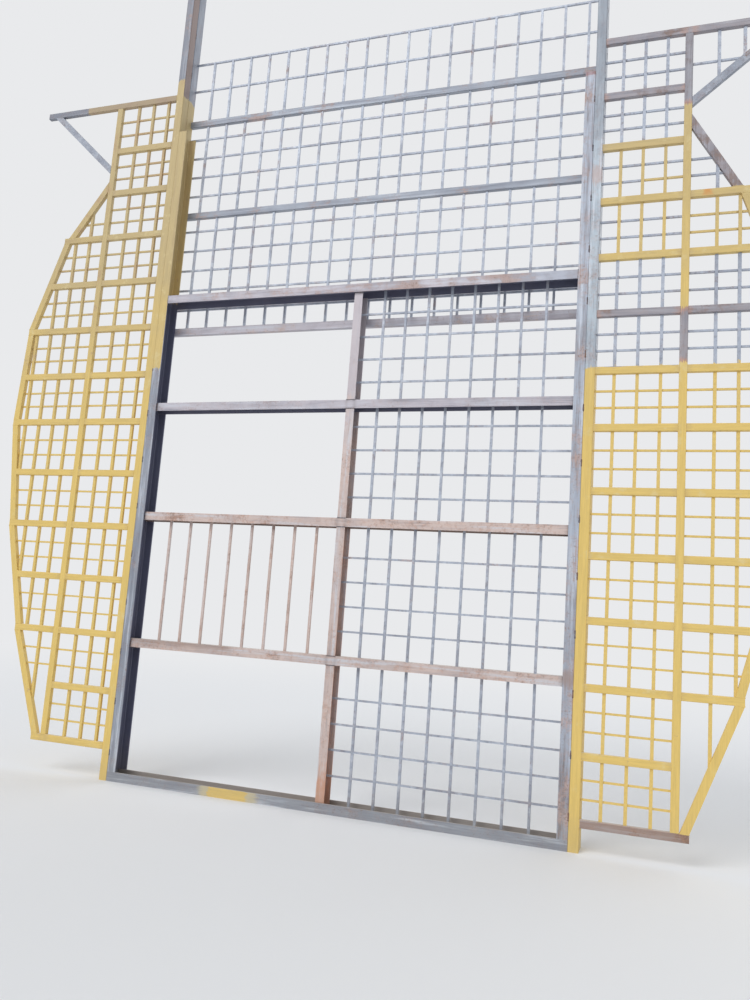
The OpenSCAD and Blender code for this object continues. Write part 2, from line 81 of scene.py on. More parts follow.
# Where stains and rust lie, and from where the posts' heads take painted shade, in metres
STILE_RUST_Z = (0.2, 2.3)
STILE_FOOT_TOP = 0.3
STILE_HEAD_FOOT = 3.3
COOL_LINTEL_X = LIP_X - 0.45
BROWN_RAIL_X = -0.9
GUIDE_RUST_Z = (LOWER_RAIL_Z[0], LOWER_RAIL_Z[1] + 0.05)
PRIMER_FOOT = GUIDE_TOP_Z - 0.03
RAIL_STAIN_X = 2.87
RAIL_STAIN_HALF = 0.03
RAIL_STAIN_Z = (5.03, 5.11)
POST_STAIN_Z = (5.2, 5.37)
POST_HEAD_FOOT = 5.7

# Half widths of the marks beside joints and paint ends, in metres
HEAT_MARK_HALF = 0.012
RAIL_END_HALF = 0.02
PAINT_END_HALF = 0.03

# How a rule tells one face from another: places in metres, and part of a unit normal
FACE_SKIN = 0.004
CROSS_BAR_FACE_Y = -0.0705
OUTER_JOINT_Y = FRONT_Y + 0.03
TURNED = 0.5

# Depths past any ragged edge, and a level under everything, in metres
INSIDE = 1.0
OUTSIDE = -1.0
UNDER_ALL = -1.0

# Fading of the paint with height, the width of its edge, and the relief of all surfaces, in metres
FADE_FOOT = 2.2
FADE_TOP = 6.0
RIGHT_FADE_TOP = 7.4
PAINT_EDGE_WIDTH = 0.008
SURFACE_RELIEF = 0.0015


def colour(red, green, blue):
    """Linear colour of a screen colour given in 0 to 255."""
    parts = [value / 255 for value in (red, green, blue)]
    return [p / 12.92 if p <= 0.04045 else ((p + 0.055) / 1.055) ** 2.4 for p in parts] + [1.0]


FRESH_YELLOW = colour(227, 195, 112)
FADED_YELLOW = colour(199, 177, 128)
BLEACHED_PAINT = colour(226, 209, 156)
THIN_PAINT = colour(187, 158, 120)
THIN_ON_SILL = colour(206, 194, 158)
GRIMED_PAINT = colour(174, 150, 114)
COOL_STEEL = colour(170, 177, 190)
PALE_STEEL = colour(178, 189, 198)
GREY_STEEL = colour(150, 156, 167)
DARK_STEEL = colour(124, 128, 138)
LILAC_STEEL = colour(186, 181, 188)
UMBER_STEEL = colour(154, 149, 154)
DEEP_STEEL = colour(118, 121, 134)
UMBER_DEEP = colour(124, 118, 120)
CHALK_STEEL = colour(204, 210, 219)
# Dark navy of mill scale, also laid as painted shade inside channels and under the lintel and the upper rail
SCALE_AND_SHADE_STEEL = colour(98, 100, 122)
TAN_RUST = colour(206, 187, 179)
DEEP_TAN = colour(160, 137, 128)
BROWN_RUST = colour(128, 100, 84)
ORANGE_RUST = colour(206, 146, 112)
ORANGE_STAIN = colour(214, 142, 70)
PINK_STAIN = colour(190, 168, 162)
SIDE_BROWN = colour(142, 124, 118)
PRIMER_RED = colour(140, 92, 90)
DUST = colour(201, 194, 183)
SPLASH = colour(158, 148, 130)
SILT = colour(152, 143, 138)
WELD_STEEL = colour(92, 88, 94)
HEAT_MARK = colour(112, 98, 98)
BACKDROP = colour(233, 234, 236)
FLOOR_GREY = colour(228, 228, 228)
SKY_LIGHT = colour(238, 243, 250)

# How finely marks repeat along x, y and z: a small number makes them long
UPRIGHT_GRAIN = (60.0, 60.0, 3.0)
LEVEL_GRAIN = (3.0, 60.0, 60.0)
MIXED_GRAIN = (34.0, 40.0, 34.0)


# Node helpers


def feed(tree, socket, value):
    """Joins a socket to another one, or sets its own value."""
    if isinstance(value, bpy.types.NodeSocket):
        tree.links.new(value, socket)
    else:
        socket.default_value = value


def math_node(tree, operation, *values):
    node = tree.nodes.new("ShaderNodeMath")
    node.operation = operation
    for socket, value in zip(node.inputs, values):
        feed(tree, socket, value)
    return node.outputs[0]


def step(tree, value, low, high):
    """0 at low, 1 at high, and smooth between them, also where high is the lower one."""
    node = tree.nodes.new("ShaderNodeMapRange")
    node.interpolation_type = "SMOOTHSTEP"
    feed(tree, node.inputs["Value"], value)
    feed(tree, node.inputs["From Min"], low)
    feed(tree, node.inputs["From Max"], high)
    return node.outputs["Result"]


def step_from(tree, value, edge, width):
    """A step that starts at an edge, which may be a socket, and is done a width above it."""
    return step(tree, value, edge, math_node(tree, "ADD", edge, width))


def scaled(tree, value, amount):
    return math_node(tree, "MULTIPLY", value, amount)


def centred(tree, value, amount):
    """A noise value moved to swing about zero, times an amount."""
    return scaled(tree, math_node(tree, "SUBTRACT", value, 0.5), amount)


def noise(tree, place, scale, detail, roughness=0.55):
    """Noise of 0 to 1 with a scale per unit of the place."""
    node = tree.nodes.new("ShaderNodeTexNoise")
    feed(tree, node.inputs["Vector"], place)
    node.inputs["Scale"].default_value = scale
    node.inputs["Detail"].default_value = detail
    node.inputs["Roughness"].default_value = roughness
    return node.outputs["Fac"]


def stretched(tree, place, grain):
    node = tree.nodes.new("ShaderNodeVectorMath")
    node.operation = "MULTIPLY"
    feed(tree, node.inputs[0], place)
    feed(tree, node.inputs[1], grain)
    return node.outputs[0]


def mixed(tree, factor, first, second, blend="MIX"):
    """Mix of two colours, whose sockets come after those for values and vectors."""
    node = tree.nodes.new("ShaderNodeMix")
    node.data_type = "RGBA"
    node.blend_type = blend
    feed(tree, node.inputs["Factor"], factor)
    feed(tree, node.inputs[6], first)
    feed(tree, node.inputs[7], second)
    return node.outputs[2]


def blended(tree, factor, first, second):
    """Mix of two plain values."""
    node = tree.nodes.new("ShaderNodeMix")
    feed(tree, node.inputs["Factor"], factor)
    feed(tree, node.inputs[2], first)
    feed(tree, node.inputs[3], second)
    return node.outputs[0]


SOCKETS = {"vector": "NodeSocketVector", "colour": "NodeSocketColor", "value": "NodeSocketFloat"}


def new_group(name, inputs, outputs):
    """An empty shader group with named sockets, and its two end nodes."""
    tree = bpy.data.node_groups.new(name, "ShaderNodeTree")
    for label, kind in inputs:
        tree.interface.new_socket(label, in_out="INPUT", socket_type=SOCKETS[kind])
    for label, kind in outputs:
        tree.interface.new_socket(label, in_out="OUTPUT", socket_type=SOCKETS[kind])
    return tree, tree.nodes.new("NodeGroupInput").outputs, tree.nodes.new("NodeGroupOutput").inputs


def placed(tree, group, **values):
    """Puts a group in a material, with its values given by socket name."""
    node = tree.nodes.new("ShaderNodeGroup")
    node.node_tree = group
    for label, value in values.items():
        feed(tree, node.inputs[label.replace("_", " ")], value)
    return node.outputs


# Effects that the materials share


def make_steel_group():
    """Mill steel that has stood outdoors: streaks, chalky runs, stains, rust powder and scale."""
    tree, given, out = new_group(
        "outdoor_steel",
        [("Place", "vector"), ("Grain", "vector"), ("Steel", "colour"), ("Deep", "colour"),
         ("Stain", "colour"), ("Stain Amount", "value"), ("Chalk Amount", "value"),
         ("Streak Amount", "value"), ("Powder Amount", "value")],
        [("Colour", "colour"), ("Roughness", "value"), ("Metal", "value"), ("Height", "value")])
    place = given["Place"]
    along = stretched(tree, place, given["Grain"])
    clouds = noise(tree, place, scale=1.9, detail=5, roughness=0.62)
    patches = noise(tree, place, scale=4.2, detail=6, roughness=0.7)
    grains = noise(tree, place, scale=26.0, detail=6, roughness=0.78)
    specks = noise(tree, place, scale=70.0, detail=3, roughness=0.7)
    runs = noise(tree, along, scale=0.4, detail=5, roughness=0.62)
    marks = noise(tree, along, scale=1.6, detail=4, roughness=0.6)

    steel = mixed(tree, scaled(tree, step(tree, clouds, 0.44, 0.68), 0.4), given["Steel"], given["Deep"])
    fine_marks = scaled(tree, step(tree, marks, 0.52, 0.74), 0.5)
    streaks = math_node(tree, "ADD", step(tree, runs, 0.5, 0.72), fine_marks)
    steel = mixed(tree, math_node(tree, "MULTIPLY", streaks, given["Streak Amount"]), steel, given["Deep"])
    chalk = math_node(tree, "MULTIPLY", step(tree, runs, 0.5, 0.34), given["Chalk Amount"])
    steel = mixed(tree, chalk, steel, CHALK_STEEL)

    spread = math_node(tree, "ADD", patches, centred(tree, marks, 0.35))
    edge = math_node(tree, "SUBTRACT", 0.76, scaled(tree, given["Stain Amount"], 0.46))
    rust = step_from(tree, spread, edge, 0.17)
    steel = mixed(tree, scaled(tree, rust, 0.85), steel, given["Stain"])
    powder = math_node(tree, "ADD", grains, centred(tree, patches, 0.6))
    powder = math_node(tree, "MULTIPLY", step(tree, powder, 0.46, 0.66), given["Powder Amount"])
    steel = mixed(tree, powder, steel, mixed(tree, step(tree, specks, 0.35, 0.65), ORANGE_RUST, BROWN_RUST))
    flaking = math_node(tree, "ADD", specks, centred(tree, patches, 0.5))
    scale = scaled(tree, step(tree, flaking, 0.6, 0.72), 0.5)

    feed(tree, out["Colour"], mixed(tree, scale, steel, BROWN_RUST))
    feed(tree, out["Roughness"], blended(tree, rust, blended(tree, marks, 0.44, 0.66), 0.88))
    dull = math_node(tree, "MAXIMUM", math_node(tree, "MAXIMUM", rust, scale), powder)
    feed(tree, out["Metal"], blended(tree, dull, 0.3, 0.0))
    feed(tree, out["Height"], math_node(tree, "ADD", scaled(tree, marks, 0.5), scaled(tree, specks, 0.5)))
    return tree


def make_paint_group():
    """Yellow paint put on by brush: strokes, thin places, grime, chips, and fading with height."""
    tree, given, out = new_group(
        "brushed_yellow",
        [("Place", "vector"), ("Grain", "vector"), ("Fade", "value"), ("Thin Amount", "value")],
        [("Colour", "colour"), ("Roughness", "value"), ("Height", "value")])
    place = given["Place"]
    along = stretched(tree, place, given["Grain"])
    strokes = noise(tree, along, scale=1.4, detail=5, roughness=0.62)
    runs = noise(tree, along, scale=0.35, detail=4, roughness=0.6)
    hairs = noise(tree, along, scale=6.0, detail=3, roughness=0.7)
    clouds = noise(tree, place, scale=2.2, detail=4)
    blots = noise(tree, place, scale=6.0, detail=5, roughness=0.7)
    flakes = noise(tree, place, scale=62.0, detail=6, roughness=0.75)

    fade = math_node(tree, "ADD", given["Fade"], centred(tree, clouds, 0.8))
    yellow = mixed(tree, step(tree, fade, 0.0, 1.0), FRESH_YELLOW, FADED_YELLOW)
    brushing = math_node(tree, "ADD", blended(tree, strokes, 0.74, 1.18), centred(tree, hairs, 0.22))
    yellow = mixed(tree, 1.0, yellow, brushing, "MULTIPLY")
    patches = math_node(tree, "ADD", blots, centred(tree, strokes, 0.4))
    bleached = scaled(tree, step(tree, patches, 0.44, 0.28), 0.5)
    yellow = mixed(tree, bleached, yellow, BLEACHED_PAINT)

    grime_edge = math_node(tree, "SUBTRACT", 0.68, scaled(tree, given["Fade"], 0.14))
    grime = scaled(tree, step_from(tree, runs, grime_edge, 0.2), 0.6)
    worn = scaled(tree, given["Thin Amount"], math_node(tree, "ADD", scaled(tree, given["Fade"], 0.25), 0.25))
    thin_edge = math_node(tree, "SUBTRACT", 0.78, worn)
    thin = scaled(tree, step_from(tree, patches, thin_edge, 0.14), 0.8)
    yellow = mixed(tree, thin, mixed(tree, grime, yellow, GRIMED_PAINT), THIN_PAINT)
    chipping = math_node(tree, "ADD", flakes, centred(tree, patches, 0.5))
    chips = scaled(tree, step(tree, chipping, 0.72, 0.75), 0.8)

    feed(tree, out["Colour"], mixed(tree, chips, yellow, SIDE_BROWN))
    feed(tree, out["Roughness"], blended(tree, strokes, 0.48, 0.7))
    feed(tree, out["Height"], math_node(tree, "SUBTRACT", strokes, chips))
    return tree


def make_edge_group():
    """Mask of a brushed area from its depth in metres: the ends are ragged."""
    tree, given, out = new_group(
        "ragged_edge",
        [("Place", "vector"), ("Grain", "vector"), ("Depth", "value"), ("Reach", "value"), ("Soft", "value")],
        [("Mask", "value")])
    along = stretched(tree, given["Place"], given["Grain"])
    bristles = noise(tree, along, scale=2.2, detail=3, roughness=0.6)
    sway = noise(tree, given["Place"], scale=9.0, detail=2)
    both = math_node(tree, "ADD", centred(tree, bristles, 1.4), centred(tree, sway, 1.0))
    depth = math_node(tree, "ADD", given["Depth"], math_node(tree, "MULTIPLY", both, given["Reach"]))
    half = scaled(tree, given["Soft"], 0.5)
    feed(tree, out["Mask"], step(tree, depth, scaled(tree, half, -1.0), half))
    return tree


def make_dirt_group():
    """Dust on what faces up, and splashed mud near the ground."""
    tree, given, out = new_group(
        "settled_dirt",
        [("Place", "vector"), ("Up", "value"), ("Height", "value"), ("Colour", "colour")],
        [("Colour", "colour"), ("Dirt", "value")])
    grain = noise(tree, given["Place"], scale=14.0, detail=5, roughness=0.65)
    dust = math_node(tree, "MULTIPLY", step(tree, given["Up"], 0.5, 0.95),
                     blended(tree, grain, 0.2, 0.75))
    low = math_node(tree, "ADD", given["Height"], centred(tree, grain, 0.6))
    mud = scaled(tree, step(tree, low, 0.42, 0.0), 0.2)
    dusty = mixed(tree, dust, given["Colour"], DUST)
    feed(tree, out["Colour"], mixed(tree, mud, dusty, SPLASH))
    feed(tree, out["Dirt"], math_node(tree, "MAXIMUM", dust, mud))
    return tree


STEEL_GROUP = make_steel_group()
PAINT_GROUP = make_paint_group()
EDGE_GROUP = make_edge_group()
DIRT_GROUP = make_dirt_group()


class Spot:
    """What a paint rule can ask of a point: its place and which way it faces."""

    def __init__(self, tree):
        self.tree = tree
        self.place = tree.nodes.new("ShaderNodeTexCoord").outputs["Object"]
        place = tree.nodes.new("ShaderNodeSeparateXYZ")
        facing = tree.nodes.new("ShaderNodeSeparateXYZ")
        tree.links.new(self.place, place.inputs[0])
        tree.links.new(tree.nodes.new("ShaderNodeNewGeometry").outputs["True Normal"], facing.inputs[0])
        self.x, self.y, self.z = place.outputs
        self.facing_x, self.facing_y, self.facing_z = facing.outputs

    def above(self, axis, level):
        """Depth past a level, upwards."""
        return math_node(self.tree, "SUBTRACT", axis, level)

    def below(self, axis, level):
        return math_node(self.tree, "SUBTRACT", level, axis)

    def between(self, axis, low, high):
        return math_node(self.tree, "MINIMUM", self.above(axis, low), self.below(axis, high))

    def either(self, first, second):
        return math_node(self.tree, "MAXIMUM", first, second)

    def both(self, first, second):
        return math_node(self.tree, "MINIMUM", first, second)

    def size(self, value):
        return math_node(self.tree, "ABSOLUTE", value)

    def choose(self, test, yes, no):
        """yes where the 0 or 1 test holds, no elsewhere."""
        return blended(self.tree, test, no, yes)

    def front(self):
        return math_node(self.tree, "LESS_THAN", self.facing_y, -TURNED)

    def on_front_plane(self):
        """1 on the foremost faces, which lie in one plane."""
        return math_node(self.tree, "MULTIPLY", self.front(),
                         math_node(self.tree, "LESS_THAN", self.y, FRONT_Y + FACE_SKIN))

    def faces_opening(self, side):
        """1 on the faces of a post that look at the opening."""
        inwards = math_node(self.tree, "MULTIPLY", self.facing_x, -side)
        return math_node(self.tree, "GREATER_THAN", inwards, TURNED)

    def cross_bar(self):
        """1 on a wing's cross bars, which lie behind the fronts of its uprights."""
        tall = math_node(self.tree, "GREATER_THAN", self.size(self.facing_z), TURNED)
        deep = math_node(self.tree, "GREATER_THAN", self.y, CROSS_BAR_FACE_Y)
        return self.either(tall, math_node(self.tree, "MULTIPLY", deep, self.front()))


# A colour laid where a rule gives a depth. Its edge strays by reach and is as wide as soft, in metres
Patch = namedtuple("Patch", "colour rule amount reach soft", defaults=(0.0, 0.002))


def patched(spot, grain, surface, patches):
    """Colours that lie over a surface, each within its own edge."""
    tree = spot.tree
    for patch in patches:
        mask = placed(tree, EDGE_GROUP, Place=spot.place, Grain=grain, Depth=patch.rule(spot),
                      Reach=patch.reach, Soft=patch.soft)["Mask"]
        surface = mixed(tree, scaled(tree, mask, patch.amount), surface, patch.colour)
    return surface


def weathered(name, grain, steel, stain, stained, paint=None, patches=(), stains=(), deep=DEEP_STEEL,
              chalk=0.2, streak=0.5, powder=0.12, thin=0.3, reach=0.08, faded=FADE_TOP):
    """A steel material, with yellow paint where a paint rule gives a depth.

    stained, chalk, streak, powder and thin are amounts of 0 to 1, reach is how far the
    paint's edge strays in metres, and faded is the height from which the paint is fully faded.
    patches colour the steel under the paint, and stains colour what is on top.
    """
    material = bpy.data.materials.new(name)
    material.use_nodes = True
    tree = material.node_tree
    shader = tree.nodes["Principled BSDF"]
    spot = Spot(tree)
    bare = placed(tree, STEEL_GROUP, Place=spot.place, Grain=grain, Steel=steel, Deep=deep,
                  Stain=stain, Stain_Amount=stained, Chalk_Amount=chalk,
                  Streak_Amount=streak, Powder_Amount=powder)
    surface = patched(spot, grain, bare["Colour"], patches)
    roughness, metal, height = bare["Roughness"], bare["Metal"], bare["Height"]
    if paint:
        coat = placed(tree, PAINT_GROUP, Place=spot.place, Grain=grain,
                      Fade=step(tree, spot.z, FADE_FOOT, faded), Thin_Amount=thin)
        mask = placed(tree, EDGE_GROUP, Place=spot.place, Grain=grain, Depth=paint(spot),
                      Reach=reach, Soft=PAINT_EDGE_WIDTH)["Mask"]
        surface = mixed(tree, mask, surface, coat["Colour"])
        roughness = blended(tree, mask, roughness, coat["Roughness"])
        metal = blended(tree, mask, metal, 0.0)
        height = blended(tree, mask, height, math_node(tree, "ADD", coat["Height"], 0.6))
    surface = patched(spot, grain, surface, stains)
    dirty = placed(tree, DIRT_GROUP, Place=spot.place, Up=spot.facing_z, Height=spot.z, Colour=surface)
    bump = tree.nodes.new("ShaderNodeBump")
    bump.inputs["Strength"].default_value = 0.25
    bump.inputs["Distance"].default_value = SURFACE_RELIEF
    feed(tree, bump.inputs["Height"], height)
    feed(tree, shader.inputs["Base Color"], dirty["Colour"])
    feed(tree, shader.inputs["Roughness"], blended(tree, dirty["Dirt"], roughness, 0.9))
    feed(tree, shader.inputs["Metallic"], blended(tree, dirty["Dirt"], metal, 0.0))
    feed(tree, shader.inputs["Normal"], bump.outputs[0])
    return material


# Paint rules: each gives the depth of the painted area at a spot


def painted_all(spot):
    return spot.above(spot.z, UNDER_ALL)


def left_front_box(spot):
    """The face behind the guide is bare at its foot, and its paint ends lower than the front's."""
    side = spot.between(spot.z, LEFT_GUIDE_PAINT_FOOT, LEFT_POST_SIDE_PAINT_TOP)
    return spot.choose(spot.faces_opening(SIDES["left"]), side, spot.below(spot.z, LEFT_POST_PAINT_TOP))


def left_rear_box(spot):
    foot = spot.choose(spot.faces_opening(SIDES["left"]), LEFT_GUIDE_PAINT_FOOT, UNDER_ALL)
    return spot.between(spot.z, foot, LEFT_POST_SIDE_PAINT_TOP)


def right_box(spot):
    return spot.below(spot.z, RIGHT_POST_PAINT_TOP)


def left_guide_paint(spot):
    foot = spot.choose(spot.on_front_plane(), LEFT_GUIDE_PAINT_FOOT, LEFT_GUIDE_SIDE_PAINT_FOOT)
    return spot.above(spot.z, foot)


def on_outer_joint(spot):
    """1 on the stitches between a post's two boxes, 0 on those at the guide's front."""
    return math_node(spot.tree, "GREATER_THAN", spot.y, OUTER_JOINT_Y)


def left_stitches(spot):
    """The stitches at the left guide are painted from where its front face is."""
    foot = spot.choose(on_outer_joint(spot), UNDER_ALL, LEFT_GUIDE_PAINT_FOOT)
    return spot.between(spot.z, foot, LEFT_POST_SIDE_PAINT_TOP)


def right_stitches(spot):
    """The stitches at the right guide are bare, those on the post's outside are painted with it."""
    return spot.below(spot.z, spot.choose(on_outer_joint(spot), RIGHT_POST_PAINT_TOP, UNDER_ALL))


def left_top_rail(spot):
    return spot.above(spot.x, LEFT_TOP_RAIL_PAINT_END)


def sill_patch(spot):
    """The thickly brushed middle of a patch, on the front flange alone."""
    return spot.choose(spot.on_front_plane(), spot.between(spot.x, *SILL_PATCH_CORE), OUTSIDE)


def right_band(spot, band):
    return spot.either(spot.between(spot.z, *band), spot.below(spot.z, RIGHT_LOW_PAINT_TOP))


def right_rails(spot):
    return right_band(spot, RIGHT_RAIL_BAND)


def right_mullion(spot):
    return right_band(spot, RIGHT_MULLION_BAND)


def right_bars(spot):
    """The uprights are painted over a band, the cross bars there only in two places."""
    outer = spot.both(spot.above(spot.x, MULLION_OUT_X), spot.between(spot.z, *PAINTED_OUTER_BAR_Z))
    inner_cross = spot.both(spot.between(spot.x, *PAINTED_INNER_BAR_X),
                            spot.between(spot.z, *PAINTED_INNER_BAR_Z))
    inner_upright = spot.both(spot.below(spot.x, MULLION_IN_X), spot.between(spot.z, *RIGHT_BAR_BAND))
    inner = spot.choose(spot.cross_bar(), inner_cross, inner_upright)
    return spot.either(spot.either(inner, outer), spot.below(spot.z, RIGHT_LOW_PAINT_TOP))


def right_edge_paint(spot):
    return spot.below(spot.z, RIGHT_EDGE_PAINT_TOP)


# Patch and stain rules: each gives the depth of the coloured area at a spot


def sill_patch_ends(spot):
    """The sill's patch as far as it is brushed out thin, at both ends."""
    return spot.choose(spot.on_front_plane(), spot.between(spot.x, *SILL_PATCH), OUTSIDE)


def channel_inside(spot):
    """Everything of a channel or a sill but its front face."""
    return spot.above(spot.y, FRONT_Y + FACE_SKIN)


def hollow_side(node):
    """All of a channel that opens downwards but its front, top and rear faces: its underside, where shade is
    painted.
    """
    low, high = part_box(node)

    def rule(spot):
        within = spot.between(spot.y, low.y + FACE_SKIN, high.y - FACE_SKIN)
        return spot.both(within, spot.below(spot.facing_z, TURNED))
    return rule


def opening_face(side):
    def rule(spot):
        return spot.choose(spot.faces_opening(side), INSIDE, OUTSIDE)
    return rule


def stile_side(spot):
    """The stile's flanks, from just above the sill to the middle rail."""
    flank = math_node(spot.tree, "GREATER_THAN", spot.size(spot.facing_x), TURNED)
    return spot.choose(flank, spot.between(spot.z, *STILE_RUST_Z), OUTSIDE)


def stile_foot(spot):
    return spot.below(spot.z, STILE_FOOT_TOP)


def stile_head(spot):
    return spot.above(spot.z, STILE_HEAD_FOOT)


def lintel_right_end(spot):
    return spot.above(spot.x, COOL_LINTEL_X)


def lower_rail_left_end(spot):
    """Brown scale on the left end of the lower rail, along its upper edge."""
    low, high = LOWER_RAIL_Z
    return spot.both(spot.below(spot.x, BROWN_RAIL_X), spot.between(spot.z, (low + high) / 2, high + INSIDE))


def guide_by_lower_rail(spot):
    """Rust on the guide's face where the lower rail is welded to it."""
    return spot.choose(spot.on_front_plane(), spot.between(spot.z, *GUIDE_RUST_Z), OUTSIDE)


def primed_end(spot):
    return spot.above(spot.z, PRIMER_FOOT)


def post_stain(spot):
    return spot.between(spot.z, *POST_STAIN_Z)


# Where the heads of the right posts and the mullion are painted darker, as shade
def post_head(spot):
    return spot.above(spot.z, POST_HEAD_FOOT)


def beside(spot, axis, places, half):
    """Depth inside bands of a half width about some places along an axis."""
    nearest = None
    for place in places:
        away = spot.size(math_node(spot.tree, "SUBTRACT", axis, place))
        nearest = away if nearest is None else spot.both(nearest, away)
    return spot.below(nearest, half)


def wing_rail_ends(spot):
    """The ends of a wing's rails, by their welds on the post and the mullion."""
    return beside(spot, spot.size(spot.x), (POST_OUT_X, MULLION_IN_X, MULLION_OUT_X), RAIL_END_HALF)


def gate_rail_ends(spot):
    return beside(spot, spot.x, (-LIP_X, LIP_X, *STILE_X), HEAT_MARK_HALF)


def stile_joints(spot):
    """Heat marks where the rails cross the stile."""
    levels = [level for name in RAIL_NAMES for level in (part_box(name)[0].z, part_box(name)[1].z)]
    return beside(spot, spot.z, levels, HEAT_MARK_HALF)


def mullion_paint_ends(spot):
    return beside(spot, spot.z, (*RIGHT_MULLION_BAND, RIGHT_LOW_PAINT_TOP), PAINT_END_HALF)


def rail_stain(spot):
    """One orange run on a rail of the right wing."""
    return spot.both(beside(spot, spot.x, (RAIL_STAIN_X,), RAIL_STAIN_HALF),
                     spot.between(spot.z, *RAIL_STAIN_Z))


# Finishes, by the node or the kind of node that has them

